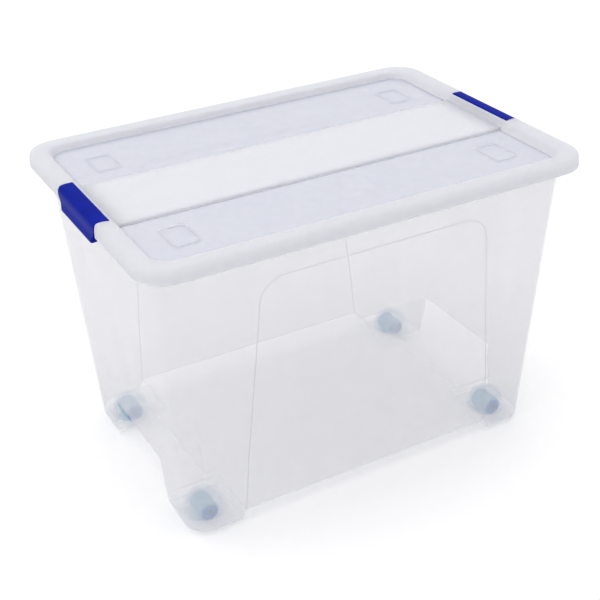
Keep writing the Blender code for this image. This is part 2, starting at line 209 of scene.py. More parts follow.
class BoxColours(bpy.types.PropertyGroup):
    """Colours and clarity of the box's finishes."""

    clear: FloatVectorProperty(name="Clear plastic", description="Tint of the clear moulding",
                               default=(0.76, 0.76, 0.785), size=3, min=0, max=1, subtype="COLOR")
    clear_veil: FloatProperty(name="Clear veil", description="How much one surface of the tub hides",
                              default=0.27, min=0, max=1, subtype="FACTOR")
    # Paler than the walls' tint of the same plastic, lifting the floor, raised ends and feet against the
    # shade inside the tub: painted light.
    inner: FloatVectorProperty(name="Inner plastic", description="Tint of the floor and raised ends",
                               default=(0.97, 0.97, 0.98), size=3, min=0, max=1, subtype="COLOR")
    dome: FloatVectorProperty(name="Wheel dome", description="Tint of the wheel domes",
                              default=(0.56, 0.70, 0.84), size=3, min=0, max=1, subtype="COLOR")
    panel: FloatVectorProperty(name="Lid panel", description="Tint of the lid's clear panels",
                               default=(0.65, 0.67, 0.76), size=3, min=0, max=1, subtype="COLOR")
    frosted: FloatVectorProperty(name="Frosted plastic", description="Tint of the lid's frosted faces",
                                 default=(0.845, 0.85, 0.88), size=3, min=0, max=1, subtype="COLOR")
    blue: FloatVectorProperty(name="Clip blue", description="Colour of the clips",
                              default=(0.006, 0.014, 0.25), size=3, min=0, max=1, subtype="COLOR")
    grey: FloatVectorProperty(name="Roller grey", description="Colour of the rollers",
                              default=(0.38, 0.55, 0.65), size=3, min=0, max=1, subtype="COLOR")
    # Darker, bluer colour of the rollers' recessed faces: painted shade for the recess.
    hub: FloatVectorProperty(name="Roller hub", description="Colour of the rollers' recessed faces",
                             default=(0.04, 0.22, 0.58), size=3, min=0, max=1, subtype="COLOR")
    steel: FloatVectorProperty(name="Pin steel", description="Colour of the roller pins",
                               default=(0.10, 0.12, 0.16), size=3, min=0, max=1, subtype="COLOR")


# ---------------------------------------------------------------- shader maths


class Value:
    """A shader socket that builds Math nodes when it is used in an expression."""

    def __init__(self, maker, socket):
        self.maker = maker
        self.socket = socket

    def _math(self, operation, first, second):
        return self.maker.node("ShaderNodeMath", {"operation": operation}, {0: first, 1: second})

    def __add__(self, other):
        return self._math("ADD", self, other)

    __radd__ = __add__

    def __mul__(self, other):
        return self._math("MULTIPLY", self, other)

    __rmul__ = __mul__

    def clamp(self):
        return self.maker.node("ShaderNodeClamp", {}, {"Value": self})


class Finish:
    """A material and the one way that its nodes are made."""

    def __init__(self, name):
        self.material = bpy.data.materials.new(name)
        self.material.use_nodes = True
        self.tree = self.material.node_tree
        self.shader = self.tree.nodes["Principled BSDF"]

    def node(self, kind, settings, inputs, output=0):
        """Makes a node, applies its settings, then sets or links its sockets."""
        made = self.tree.nodes.new(kind)
        for key, value in settings.items():
            setattr(made, key, value)
        for key, value in inputs.items():
            self.feed(made.inputs[key], value)
        return Value(self, made.outputs[output])

    def feed(self, socket, value):
        if isinstance(value, Value):
            self.tree.links.new(value.socket, socket)
        else:
            socket.default_value = value

    def set(self, **values):
        for key, value in values.items():
            self.feed(self.shader.inputs[key.replace("_", " ")], value)

    def place(self):
        return self.node("ShaderNodeTexCoord", {}, {}, "Object")

    def noise(self, scale, detail=2.0, stretch=(1, 1, 1)):
        where = self.node("ShaderNodeMapping", {}, {"Vector": self.place(), "Scale": stretch})
        inputs = {"Vector": where, "Scale": scale, "Detail": detail}
        return self.node("ShaderNodeTexNoise", {}, inputs, "Fac")

    def mix(self, factor, first, second):
        return self.node("ShaderNodeMix", {"data_type": "RGBA"},
                         {"Factor": factor, "A": (*first, 1.0), "B": (*second, 1.0)}, "Result")

    def bump(self, height, strength, distance):
        inputs = {"Height": height, "Strength": strength, "Distance": distance}
        return self.node("ShaderNodeBump", {}, inputs)

    def mix_shaders(self, factor, first, second):
        return self.node("ShaderNodeMixShader", {}, {0: factor, 1: first, 2: second})

    def let_through(self, colour, share, cover):
        """Lets a share of the light pass on softened, and leaves the rest of the surface clear."""
        solid = Value(self, self.shader.outputs["BSDF"])
        glow = self.node("ShaderNodeBsdfTranslucent", {}, {"Color": (*colour, 1.0)})
        body = self.mix_shaders(share, solid, glow)
        clear = self.node("ShaderNodeBsdfTransparent", {}, {})
        surface = self.tree.nodes["Material Output"].inputs["Surface"]
        self.feed(surface, self.mix_shaders(cover, clear, body))


def shade(colour, factor):
    return tuple(min(1.0, part * factor) for part in colour)


def clear_finish(name, colour, veil, through=0.5, roughness=0.16):
    """Natural polypropylene: clear with a faint milky veil, flow streaks and a soft ripple."""
    finish = Finish(name)
    haze = finish.noise(HAZE, detail=3)
    streak = finish.noise(STREAK, stretch=DOWN_DRAWN)
    ripple = finish.noise(RIPPLE)
    cloud = haze * 0.6 + streak * 0.4
    finish.set(
        Base_Color=finish.mix(cloud, shade(colour, 0.97), shade(colour, 1.03)),
        Roughness=roughness + cloud * 0.10,
        Normal=finish.bump(ripple * 0.5 + streak * 0.5, strength=0.08, distance=0.0003),
    )
    finish.shader.inputs["IOR"].default_value = PLASTIC_IOR
    finish.shader.inputs["Specular IOR Level"].default_value = 0.35
    finish.let_through(colour, through, (veil * 0.8 + cloud * (veil * 0.4)).clamp())
    return finish.material


def frosted_finish(name, colour, cover, through=0.48, roughness=0.42):
    """Spark-eroded polypropylene: a fine even grain that scatters the light."""
    finish = Finish(name)
    grain = finish.noise(FROST_GRAIN)
    cloud = finish.noise(FROST_CLOUD, detail=3)
    finish.set(
        Base_Color=finish.mix(cloud, shade(colour, 0.985), shade(colour, 1.015)),
        Roughness=roughness + grain * 0.12,
        Normal=finish.bump(grain, strength=0.25, distance=0.0002),
    )
    finish.shader.inputs["IOR"].default_value = PLASTIC_IOR
    finish.let_through(colour, through, (cover - 0.03 + cloud * 0.06).clamp())
    return finish.material


def blue_finish(colour):
    """Satin royal blue moulding with a fine texture and rubbed, slightly paler patches."""
    finish = Finish("clip_blue")
    grain = finish.noise(CLIP_GRAIN)
    rubbed = finish.noise(CLIP_RUB, detail=4)
    finish.set(
        Base_Color=finish.mix(rubbed, shade(colour, 0.8), shade(colour, 1.35)),
        Roughness=0.26 + rubbed * 0.16,
        Normal=finish.bump(grain, strength=0.2, distance=0.0002),
    )
    finish.shader.inputs["Specular IOR Level"].default_value = 0.01
    finish.shader.inputs["Specular Tint"].default_value = (0.35, 0.4, 0.85, 1.0)
    return finish.material


def grey_finish(name, colour):
    """Roller plastic: matt, mottled and scuffed round the tread."""
    finish = Finish(name)
    scuff = finish.noise(ROLLER_SCUFF, detail=4, stretch=TREAD_DRAWN)
    grain = finish.noise(ROLLER_GRAIN)
    finish.set(
        Base_Color=finish.mix(scuff, shade(colour, 0.7), shade(colour, 1.35)),
        Roughness=0.38 + scuff * 0.2,
        Normal=finish.bump(grain * 0.4 + scuff * 0.6, strength=0.3, distance=0.0003),
    )
    return finish.material


def steel_finish(colour):
    """Drawn steel with fine lengthwise lines."""
    finish = Finish("pin_steel")
    drawn = finish.noise(STEEL_LINES, detail=3, stretch=PIN_DRAWN)
    finish.set(
        Base_Color=finish.mix(drawn, shade(colour, 0.7), shade(colour, 1.4)),
        Roughness=0.28 + drawn * 0.2,
        Normal=finish.bump(drawn, strength=0.2, distance=0.0001),
    )
    finish.shader.inputs["Metallic"].default_value = 1.0
    return finish.material


def floor_finish():
    """Plain pale paper."""
    finish = Finish("studio_floor")
    paper = finish.noise(PAPER_GRAIN, detail=3)
    finish.set(
        Base_Color=finish.mix(paper, (0.97, 0.97, 0.97), (0.985, 0.985, 0.985)),
        Roughness=0.9 + paper * 0.05,
    )
    return finish.material


# ---------------------------------------------------------------- mesh helpers


def add_object(name, mesh, material, smooth=35):
    mesh.materials.append(material)
    mesh.shade_smooth()
    mesh.set_sharp_from_angle(angle=math.radians(smooth))
    obj = bpy.data.objects.new(name, mesh)
    bpy.context.scene.collection.objects.link(obj)
    return obj


def mesh_of(shape, name):
    bmesh.ops.recalc_face_normals(shape, faces=shape.faces)
    mesh = bpy.data.meshes.new(name)
    shape.to_mesh(mesh)
    shape.free()
    return mesh


def loft(name, rows, material, close_rows=False, close_columns=True, caps=False, smooth=35):
    """Joins rows of points by quads; rows or columns may close on themselves."""
    shape = bmesh.new()
    grid = [[shape.verts.new(point) for point in row] for row in rows]
    row_pairs = list(zip(grid, grid[1:] + grid[:1])) if close_rows else list(zip(grid, grid[1:]))
    for low, high in row_pairs:
        count = len(low)
        for i in range(count if close_columns else count - 1):
            j = (i + 1) % count
            shape.faces.new((low[i], low[j], high[j], high[i]))
    if caps:
        shape.faces.new(grid[0][::-1])
        shape.faces.new(grid[-1])
    bmesh.ops.remove_doubles(shape, verts=shape.verts, dist=1e-6)
    return add_object(name, mesh_of(shape, name), material, smooth)


def thicken(obj, thickness, offset):
    """Gives a one-sided shape its wall."""
    modifier = obj.modifiers.new("solidify", "SOLIDIFY")
    modifier.thickness = thickness
    modifier.offset = offset


def settle(obj, body, slot, *nodes):
    """Sets the piece on its body, standing for CAD nodes; the slot is not used."""
    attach(obj, body)
    if nodes:
        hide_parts(*nodes)
    return obj


def lerp(low, high, share):
    return low + (high - low) * share


def share_of(low, high, value):
    """How far the value lies between low and high, held to 0..1."""
    return min(1.0, max(0.0, (value - low) / (high - low)))


def smooth_step(low, high, value):
    share = share_of(low, high, value)
    return share * share * (3 - 2 * share)


def both_signs(marks):
    return sorted({sign * mark for mark in marks for sign in (-1, 1)})


def spread(marks, widest):
    """Marks with more put between them where a gap is wide."""
    filled = [marks[0]]
    for low, high in zip(marks, marks[1:]):
        steps = max(1, math.ceil((high - low) / widest))
        filled += [lerp(low, high, step / steps) for step in range(1, steps + 1)]
    return filled


def outline_stations(long_marks, short_marks, corner_steps=12):
    """Stations round a rounded rectangle, counter-clockwise, each ("long"|"short"|"corner", a, b)."""
    stations = []
    for side_x, side_y, start in ((1, 1, 0), (-1, 1, 90), (-1, -1, 180), (1, -1, 270)):
        if side_x * side_y > 0:
            straight = [("short", side_x, side_x * mark) for mark in short_marks]
        else:
            straight = [("long", side_y, side_x * mark) for mark in long_marks]
        stations += straight
        for step in range(corner_steps + 1):
            angle = math.radians(start + 90 * step / corner_steps)
            stations.append(("corner", (side_x, side_y), angle))
    return stations


def spot(station, half, radius):
    """The station's point on a rounded rectangle of these half sizes."""
    kind, a, b = station
    if kind == "long":
        return b, a * half[1]
    if kind == "short":
        return a * half[0], b
    return (
        a[0] * (half[0] - radius) + radius * math.cos(b),
        a[1] * (half[1] - radius) + radius * math.sin(b),
    )


def wall_half(z, inset=0.0):
    share = (z - FOOT) / (RIM_BOTTOM - FOOT)
    return [lerp(low, high, share) - inset for low, high in zip(WALL_FOOT_HALF, WALL_TOP_HALF)]


# ---------------------------------------------------------------- tub


def wall_bottom(station):
    """Height of the wall's lower edge: down to the feet, up over the floor's edge and the end notches."""
    kind, _, b = station
    if kind == "long":
        return lerp(FLOOR_UNDER, FOOT, share_of(FOOT_INNER_X[1], FOOT_INNER_X[0], abs(b)))
    if kind == "short":
        if abs(b) < FOOT_SIDE_Y[1]:
            return NOTCH_TOP
        return lerp(NOTCH_SIDE_STRAIGHT, FOOT, share_of(FOOT_SIDE_Y[1], FOOT_SIDE_Y[0], abs(b)))
    return FOOT


def wall_rows(stations, wall, edge):
    """The closed section of the tub's wall and turned-down rim, as rows of points."""
    under_top = TUB_TOP - wall
    panel_edge = (END_PANEL_Y - 1.5 * MM, END_PANEL_Y + 1.5 * MM)

    def wall_row(share, inset, lift=0.0, top=under_top):
        row = []
        for station in stations:
            low = wall_bottom(station)
            z = lerp(low + lift, top, share)
            pressed = 0.0
            if station[0] == "short":
                pressed = END_PANEL_DEPTH * (1 - smooth_step(*panel_edge, abs(station[2])))
            row.append((*spot(station, wall_half(z, inset + pressed), WALL_CORNER - inset), z))
        return row

    def rim_row(half_inset, z):
        row = []
        for station in stations:
            half = [side - half_inset for side in RIM_HALF]
            if station[0] == "short" and abs(station[2]) < CLIP_RECESS[0]:
                half[0] -= RIM_HALF[0] - CLIP_RECESS[1]
            row.append((*spot(station, half, RIM_CORNER - half_inset), z))
        return row

    rows = [wall_row(0, edge), wall_row(0, edge * 0.3, edge * 0.3), wall_row(0, 0, edge)]
    rows += [wall_row(share, 0, edge) for share in WALL_SHARES]
    rows += [wall_row(1, -1.5 * MM, 0, under_top - 0.4 * MM), rim_row(wall + 2 * MM, under_top)]
    rows += [rim_row(wall, under_top - 1.5 * MM), rim_row(wall, RIM_BOTTOM + 0.4 * MM)]
    rows += [rim_row(wall - edge, RIM_BOTTOM), rim_row(edge, RIM_BOTTOM), rim_row(0, RIM_BOTTOM + edge)]
    rows += [rim_row(0, TUB_TOP - 2 * MM), rim_row(0.6 * MM, TUB_TOP - 0.6 * MM), rim_row(2 * MM, TUB_TOP)]
    rows += [wall_row(1, wall - 0.8 * MM, 0, TUB_TOP), wall_row(1, wall, 0, TUB_TOP - 0.8 * MM)]
    rows += [wall_row(share, wall, edge) for share in reversed(WALL_SHARES)]
    rows += [wall_row(0, wall, edge), wall_row(0, wall - edge, 0)]
    return rows


def make_tub_walls(material, wall, edge):
    long_marks = spread(both_signs([0, FOOT_INNER_X[1], FOOT_INNER_X[0], 215 * MM]), 30 * MM)
    near = [END_PANEL_Y - 1.5 * MM, END_PANEL_Y, END_PANEL_Y + 1.5 * MM, FOOT_SIDE_Y[0], 110 * MM, 135 * MM]
    near += [FOOT_SIDE_Y[1] - TINY_STEP, FOOT_SIDE_Y[1], CLIP_RECESS[0], CLIP_RECESS[0] - TINY_STEP]
    short_marks = spread(both_signs([0] + near), 20 * MM)
    stations = outline_stations(long_marks, short_marks)
    walls = loft("tub_walls", wall_rows(stations, wall, edge), material, close_rows=True)
    return settle(walls, "tub", "clear_plastic", "tub")


def curve_tube(name, points, radius, material, cyclic=False):
    """A thin round bead along points, as a mesh."""
    curve = bpy.data.curves.new(name, "CURVE")
    curve.dimensions = "3D"
    curve.bevel_depth = radius
    curve.bevel_resolution = 3
    curve.use_fill_caps = True
    spline = curve.splines.new("POLY")
    spline.points.add(len(points) - 1)
    spline.use_cyclic_u = cyclic
    for target, point in zip(spline.points, points):
        target.co = (*point, 1)
    holder = bpy.data.objects.new(name + "_path", curve)
    bpy.context.scene.collection.objects.link(holder)
    graph = bpy.context.evaluated_depsgraph_get()
    mesh = bpy.data.meshes.new_from_object(holder.evaluated_get(graph))
    mesh.materials.clear()
    bpy.data.objects.remove(holder)
    return add_object(name, mesh, material, 60)


def panel_arch():
    """Half of the arch on a long wall as (x, height), from the foot to the middle."""
    points = [(ARCH_FOOT_X, FLOOR_UNDER)] + [(x * MM, FOOT + height * MM) for x, height in ARCH_SIDE]
    centre = (ARCH_SHOULDER - ARCH_CORNER, FOOT + ARCH_TOP - ARCH_CORNER)
    for step in range(1, 9):
        angle = math.radians(lerp(4, 90, step / 8))
        points.append((centre[0] + ARCH_CORNER * math.cos(angle), centre[1] + ARCH_CORNER * math.sin(angle)))
    return points


def make_panel_lines(material, radius):
    for name, side in (("front", -1), ("rear", 1)):
        half = panel_arch()
        whole = half + [(-x, z) for x, z in reversed(half)]
        points = [(x, side * wall_half(z)[1], z) for x, z in whole]
        line = curve_tube(f"panel_line_{name}", points, radius, material)
        settle(line, "tub", "clear_plastic")


def tapered_cage(low, high, z_low, z_high, centre):
    """A cage whose half sizes go from low to high."""
    shape = bmesh.new()
    bmesh.ops.create_cube(shape, size=2)
    for vert in shape.verts:
        half, z = (high, z_high) if vert.co.z > 0 else (low, z_low)
        vert.co = (centre[0] + vert.co.x * half[0], centre[1] + vert.co.y * half[1], z)
    return shape


def make_raised_end(name, side, material, wall):
    """The floor's raised end: a top and three drafted sides, open below and at the wall."""
    outer_low, outer_high = wall_half(FLOOR_UNDER, wall)[0], wall_half(NOTCH_TOP + wall, wall)[0]
    shape = tapered_cage((0.5, FOOT_SIDE_Y[0] + wall), (0.5, FOOT_SIDE_Y[1] + wall), FLOOR_UNDER,
                         NOTCH_TOP + wall, (0, 0))
    for vert in shape.verts:
        high = vert.co.z > FLOOR_UNDER + 1e-6
        outer = outer_high if high else outer_low
        start = RAISED_END_X + (RAISED_END_DRAFT if high else 0)
        vert.co.x = side * (outer if vert.co.x > 0 else start)
    gone = [f for f in shape.faces if all(v.co.z < FLOOR_UNDER + 1e-6 for v in f.verts)]
    gone += [f for f in shape.faces if all(abs(v.co.x) > RAISED_END_X + 10 * MM for v in f.verts)]
    bmesh.ops.delete(shape, geom=gone, context="FACES")
    inside = [e for e in shape.edges if not e.is_boundary]
    bmesh.ops.bevel(shape, geom=inside, offset=RAISED_END_ROUNDING, segments=5, profile=0.5, affect="EDGES")
    raised = add_object(name, mesh_of(shape, name), material, 50)
    thicken(raised, wall, -1)
    return settle(raised, "tub", "clear_plastic")


def flat_plate(name, rings, z, thickness, material):
    """A flat plate from an outline and its holes, from z upwards."""
    curve = bpy.data.curves.new(name, "CURVE")
    curve.dimensions = "2D"
    curve.fill_mode = "BOTH"
    curve.extrude = thickness / 2
    for ring in rings:
        spline = curve.splines.new("POLY")
        spline.points.add(len(ring) - 1)
        spline.use_cyclic_u = True
        for target, point in zip(spline.points, ring):
            target.co = (*point, 0, 1)
    holder = bpy.data.objects.new(name + "_outline", curve)
    bpy.context.scene.collection.objects.link(holder)
    graph = bpy.context.evaluated_depsgraph_get()
    mesh = bpy.data.meshes.new_from_object(holder.evaluated_get(graph))
    mesh.materials.clear()
    bpy.data.objects.remove(holder)
    mesh.transform(Matrix.Translation((0, 0, z + thickness / 2)))
    return add_object(name, mesh, material)


def make_floor(material, wall):
    """The floor between the feet and up to the raised ends."""
    half_y = wall_half(FLOOR_UNDER, wall * 0.9)[1]
    end_x, end_y = RAISED_END_X + 1 * MM, FOOT_SIDE_Y[0] - 1.5 * MM
    quarter = [(end_x, 0), (end_x, end_y), (FOOT_INNER_X[1] + wall, end_y), (FOOT_INNER_X[1] + wall, half_y)]
    outline = []
    for side_x, side_y in ((1, 1), (-1, 1), (-1, -1), (1, -1)):
        part = [(side_x * x, side_y * y) for x, y in quarter[1:]]
        outline += part if side_x * side_y > 0 else part[::-1]
    floor = flat_plate("tub_floor", [outline], FLOOR_UNDER, wall, material)
    settle(floor, "tub", "clear_plastic")


def make_foot_plates(material, wall):
    """The bottom of each foot, with a round opening where the wheel comes through."""
    for corner, side_x, side_y in CORNERS:
        near_x, near_y = FOOT_INNER_X[0], FOOT_SIDE_Y[0]
        far_x, far_y = wall_half(FOOT, wall * 0.5)
        centre_x, centre_y = far_x - FOOT_CORNER, far_y - FOOT_CORNER
        ring = [(near_x, near_y), (far_x, near_y)]
        for step in range(13):
            angle = math.radians(90 * step / 12)
            ring.append((centre_x + FOOT_CORNER * math.cos(angle), centre_y + FOOT_CORNER * math.sin(angle)))
        ring.append((near_x, far_y))
        ring = [(side_x * x, side_y * y) for x, y in ring]
        centre = roller_centre(side_x, side_y)
        hole = [(centre.x + DOME_BASE * math.cos(math.tau * k / 48),
                 centre.y + DOME_BASE * math.sin(math.tau * k / 48)) for k in range(48)]
        plate = flat_plate(f"foot_plate_{corner}", [ring, hole], FOOT, wall * 1.1, material)
        settle(plate, "tub", "clear_plastic")


def roller_centre(side_x, side_y):
    middle = (ROLLER_LOW + ROLLER_HIGH) / 2
    return Vector((side_x * middle.x, side_y * middle.y, middle.z))


def lathe(name, centre, profile, material, turn=None, steps=48, close=False, smooth=40):
    """Turns a (radius, height) profile about the vertical through centre, or about Y with turn set."""
    rows = []
    for radius, height in profile:
        row = []
        for k in range(steps):
            angle = math.tau * k / steps
            point = Vector((radius * math.cos(angle), radius * math.sin(angle), height))
            if turn:
                point.rotate(turn)
            row.append(centre + point)
        rows.append(row)
    return loft(name, rows, material, close_rows=close, smooth=smooth)


def make_domes(material, wall, height):
    """A rounded housing over each roller, open below, rising from the bottom of its foot."""
    for corner, side_x, side_y in CORNERS:
        centre = roller_centre(side_x, side_y)
        centre.z = FOOT
        straight = height - DOME_BEND
        outer = [(DOME_BASE, DOME_LIFT), (DOME_BASE - DOME_TIP, 3 * MM)]
        outer.append((lerp(DOME_BASE, DOME_SHOULDER, 0.6), straight * 0.55))
        for step in range(11):
            angle = math.radians(90 * step / 10)
            outer.append((DOME_SHOULDER - DOME_BEND + DOME_BEND * math.cos(angle),
                          straight + DOME_BEND * math.sin(angle)))
        outer.append((DOME_TIP, height + DOME_TIP))
        inner = [(max(radius - wall, DOME_TIP), max(z - wall, DOME_LIFT)) for radius, z in reversed(outer)]
        dome = lathe(f"wheel_dome_{corner}", centre, outer + inner, material, close=True)
        settle(dome, "tub", "clear_plastic")


def make_foot_walls(material, wall):
    """The two inner walls of each foot, drafted down to its bottom and joined by a rounded corner."""
    for corner, side_x, side_y in CORNERS:
        rows = []
        for share in (0, 0.5, 1):
            z = lerp(FOOT, FLOOR_UNDER, share)
            x = lerp(FOOT_INNER_X[0], FOOT_INNER_X[1], share)
            y = lerp(FOOT_SIDE_Y[0], FOOT_SIDE_Y[0] - FOOT_WALL_DRAFT, share)
            wall_x, wall_y = wall_half(z, wall * 0.9)
            bend = FOOT_INNER_CORNER
            row = [(x, wall_y), (x, lerp(wall_y, y + bend, 0.5))]
            for step in range(7):
                angle = math.radians(180 + 90 * step / 6)
                row.append((x + bend + bend * math.cos(angle), y + bend + bend * math.sin(angle)))
            row += [(lerp(x + bend, wall_x, 0.5), y), (wall_x, y)]
            rows.append([(side_x * px, side_y * py, z) for px, py in row])
        foot = loft(f"foot_wall_{corner}", rows, material, close_columns=False)
        thicken(foot, wall, side_x * side_y)
        settle(foot, "tub", "clear_plastic")


def make_cheeks(material):
    """The pair of cheeks inside each dome that carry the pin."""
    for corner, side_x, side_y in CORNERS:
        centre = roller_centre(side_x, side_y)
        for end, name in ((-1, "front"), (1, "rear")):
            middle = centre.y + end * (PIN_HIGH.y - PIN_LOW.y) / 2 - end * CHEEK_FROM_PIN_END
            low, high = ((width, CHEEK_THICK) for width in CHEEK_WIDTH)
            z_low, z_high = (FOOT + height for height in CHEEK_HEIGHT)
            shape = tapered_cage(low, high, z_low, z_high, (centre.x, middle))
            bmesh.ops.bevel(shape, geom=list(shape.edges), offset=0.8 * MM, segments=2, profile=0.5,
                            affect="EDGES")
            cheek = add_object(f"pin_cheek_{corner}_{name}", mesh_of(shape, "cheek"), material)
            settle(cheek, "tub", "clear_plastic")


# ---------------------------------------------------------------- lid


def in_clip_notch(station):
    return station[0] == "short" and abs(station[2]) < SEAT_HALF


def lid_rows(stations, wall):
    """The closed section of the lid's rim: skirt, crest, well wall and hidden underside."""

    def row(out_inset, drop):
        """A row measured in from the lid's outside."""
        points = []
        for station in stations:
            inset, fall = out_inset, drop
            if in_clip_notch(station):
                inset = max(inset, LID_HALF[0] - SEAT_OUT_X)
                fall = max(fall, SEAT_DROP)
                if inset > LID_HALF[0] - SEAT_X:
                    fall = drop
            half = [side - inset for side in LID_HALF]
            points.append((*spot(station, half, max(LID_CORNER - inset, 2 * MM)), CREST - fall))
        return points

    def well(share, extra, fall):
        half = [lerp(high, low, share) + extra for high, low in zip(WELL_TOP_HALF, WELL_FOOT_HALF)]
        return [(*spot(station, half, WELL_CORNER + extra), CREST - fall) for station in stations]

    depth = CREST - SKIRT_BOTTOM
    rows = [row(0.7 * MM, depth), row(0.15 * MM, depth - 0.35 * MM), row(0, depth - 1.0 * MM)]
    rows += [row(inset * MM, drop * MM) for inset, drop in LID_SIDE]
    rows += [row(LID_HALF[0] - SEAT_X + step, SEAT_EDGE_DROP) for step in (-SEAT_STEP, SEAT_STEP)]
    rows += [well(share, extra * MM, fall * MM) for share, extra, fall in WELL_LIP]
    rows += [well(0.9, 0, PANEL_DROP - 1.5 * MM), well(1, -1.2 * MM, PANEL_DROP)]
    rows += [well(1, -1.2 * MM, PANEL_DROP + wall), well(1, wall, PANEL_DROP + wall)]
    rows += [well(0.9, wall, PANEL_DROP - 1 * MM), well(0, wall, SEAT_DROP + wall)]
    rows += [row(5 * MM, SEAT_DROP + wall), row(2.2 * MM, 7 * MM), row(wall, depth)]
    return rows


def make_lid_rim(material, wall):
    long_marks = spread(both_signs([0, 235 * MM]), 40 * MM)
    short_marks = spread(both_signs([0, SEAT_HALF - TINY_STEP, SEAT_HALF + TINY_STEP, 140 * MM]), 25 * MM)
    stations = outline_stations(long_marks, short_marks, 14)
    rim = loft("lid_rim", lid_rows(stations, wall), material, close_rows=True, smooth=40)
    return settle(rim, "lid", "frosted_plastic", "lid")


def stack_depth(x, y):
    """Depth of the stacking hollow at a point, with the bead round it, down positive."""
    over_x = abs(abs(x) - STACK_PLACE[0]) - STACK_HALF[0]
    over_y = abs(abs(y) - STACK_PLACE[1]) - STACK_HALF[1]
    outside = math.hypot(max(over_x + STACK_CORNER, 0), max(over_y + STACK_CORNER, 0)) - STACK_CORNER
    distance = outside if outside > -STACK_CORNER else max(over_x, over_y)
    hollow = STACK_DEPTH * (1 - smooth_step(-STACK_WALL, 0, distance))
    bead = STACK_LIP * smooth_step(0, 0.9 * MM, distance) * (1 - smooth_step(1.4 * MM, 2.6 * MM, distance))
    return hollow - bead


def make_lid_panels(material, wall):
    """The two clear side panels, each with a pair of stacking hollows."""
    x_edge = WELL_FOOT_HALF[0] - 1.0 * MM
    y_edge = WELL_FOOT_HALF[1] - 1.0 * MM
    x_near = [STACK_PLACE[0] - 22 * MM, STACK_PLACE[0] + 22 * MM]
    y_near = [STACK_PLACE[1] - 30 * MM, STACK_PLACE[1] + 30 * MM]
    fine = 1.0 * MM
    xs = spread(x_near, fine)
    xs = spread([0, x_near[0]], 12 * MM)[:-1] + xs + spread([x_near[1], x_edge], 6 * MM)[1:]
    xs = [-x for x in reversed(xs[1:])] + xs
    ys = spread([BAND_HALF - 1 * MM, y_near[0]], 6 * MM)[:-1] + spread(y_near, fine)
    ys += spread([y_near[1], y_edge], 6 * MM)[1:]
    for name, side in (("front", -1), ("rear", 1)):
        rows = [[(x, side * y, CREST - PANEL_DROP - stack_depth(x, y)) for x in xs] for y in ys]
        panel = loft(f"lid_panel_{name}", rows, material, close_columns=False, smooth=60)
        thicken(panel, wall, side)
        settle(panel, "lid", "frosted_plastic")


def make_stack_beads(material):
    """A light rounded bead round each stacking hollow."""
    reach = [side + BEAD_OUT - STACK_CORNER for side in STACK_HALF]
    for name, side_x, side_y in CORNERS:
        ring = []
        for start, turn_x, turn_y in ((0, 1, 1), (90, -1, 1), (180, -1, -1), (270, 1, -1)):
            for step in range(6):
                angle = math.radians(start + 90 * step / 5)
                x = side_x * STACK_PLACE[0] + turn_x * reach[0] + STACK_CORNER * math.cos(angle)
                y = side_y * STACK_PLACE[1] + turn_y * reach[1] + STACK_CORNER * math.sin(angle)
                ring.append((x, y, CREST - PANEL_DROP + BEAD_LIFT))
        bead = curve_tube(f"stack_bead_{name}", ring, BEAD_RADIUS, material, cyclic=True)
        settle(bead, "lid", "frosted_plastic")


def make_lid_band(material, wall):
    """The raised frosted band along the middle of the lid, with rolled edges."""
    height = PANEL_DROP - BAND_DROP
    section = [(BAND_HALF + 1.5 * MM, -height), (BAND_HALF + 0.4 * MM, -height + 0.7 * MM)]
    section += [(BAND_HALF + out * MM, -fall * MM) for out, fall in BAND_EDGE]
    section += [(BAND_HALF * share, 0) for share in (0.8, 0.5, 0.2)]
    whole = section + [(-y, z) for y, z in reversed(section)]
    top = CREST - BAND_DROP
    length = WELL_FOOT_HALF[0] + 0.5 * MM
    rows = [[(x, y, top + z) for y, z in whole] for x in spread([-length, length], 30 * MM)]
    band = loft("lid_band", rows, material, close_columns=False)
    thicken(band, wall, -1)
    return settle(band, "lid", "frosted_plastic")


# ---------------------------------------------------------------- clips, rollers, pins


def arc_points(out, drop, radius, start, end, steps):
    """Points round part of a circle, from one angle to another in degrees."""
    angles = [math.radians(lerp(start, end, step / steps)) for step in range(steps + 1)]
    return [(out + radius * math.cos(angle), drop - radius * math.sin(angle)) for angle in angles]


def in_metres(points):
    return [tuple(part * MM for part in point) for point in points]


def clip_section():
    """The clip's section as (distance out from the middle, drop from the crest, half length)."""
    section = arc_points(*KNUCKLE, KNUCKLE_RADIUS, 270, 90, 10)
    section += in_metres(CLIP_TOP)
    section += arc_points(*CLIP_BEND, 80, 8, 8)
    section += in_metres(CLIP_OUTSIDE + CLIP_FOOT + CLIP_HOOK + CLIP_INSIDE)
    section += arc_points(*CLIP_INNER_BEND, 0, 90, 4)
    section += in_metres(CLIP_UNDER_TOP)
    top_half = CLIP_HIGH.y - KNUCKLE_RADIUS
    return [(out, drop, lerp(top_half, CLIP_FOOT_HALF, smooth_step(*CLIP_TAPER, drop)))
            for out, drop in section]


def make_clips(material):
    section = clip_section()
    middle = (sum(p[0] for p in section) / len(section), sum(p[1] for p in section) / len(section))
    ends = CLIP_ENDS + tuple((-place, size) for place, size in reversed(CLIP_ENDS))
    for name, side in (("clip_left", -1), ("clip_right", 1)):
        rows = []
        for place, size in ends:
            row = []
            for out, drop, half in section:
                pull = 1 - (1 - size) * CLIP_END_PULL
                x = middle[0] + (out - middle[0]) * pull if size < 1 else out
                row.append((side * x, side * place * half, CREST - drop))
            rows.append(row)
        clip = loft(f"{name}_moulding", rows, material, caps=True, smooth=45)
        settle(clip, name, "blue_plastic", name)


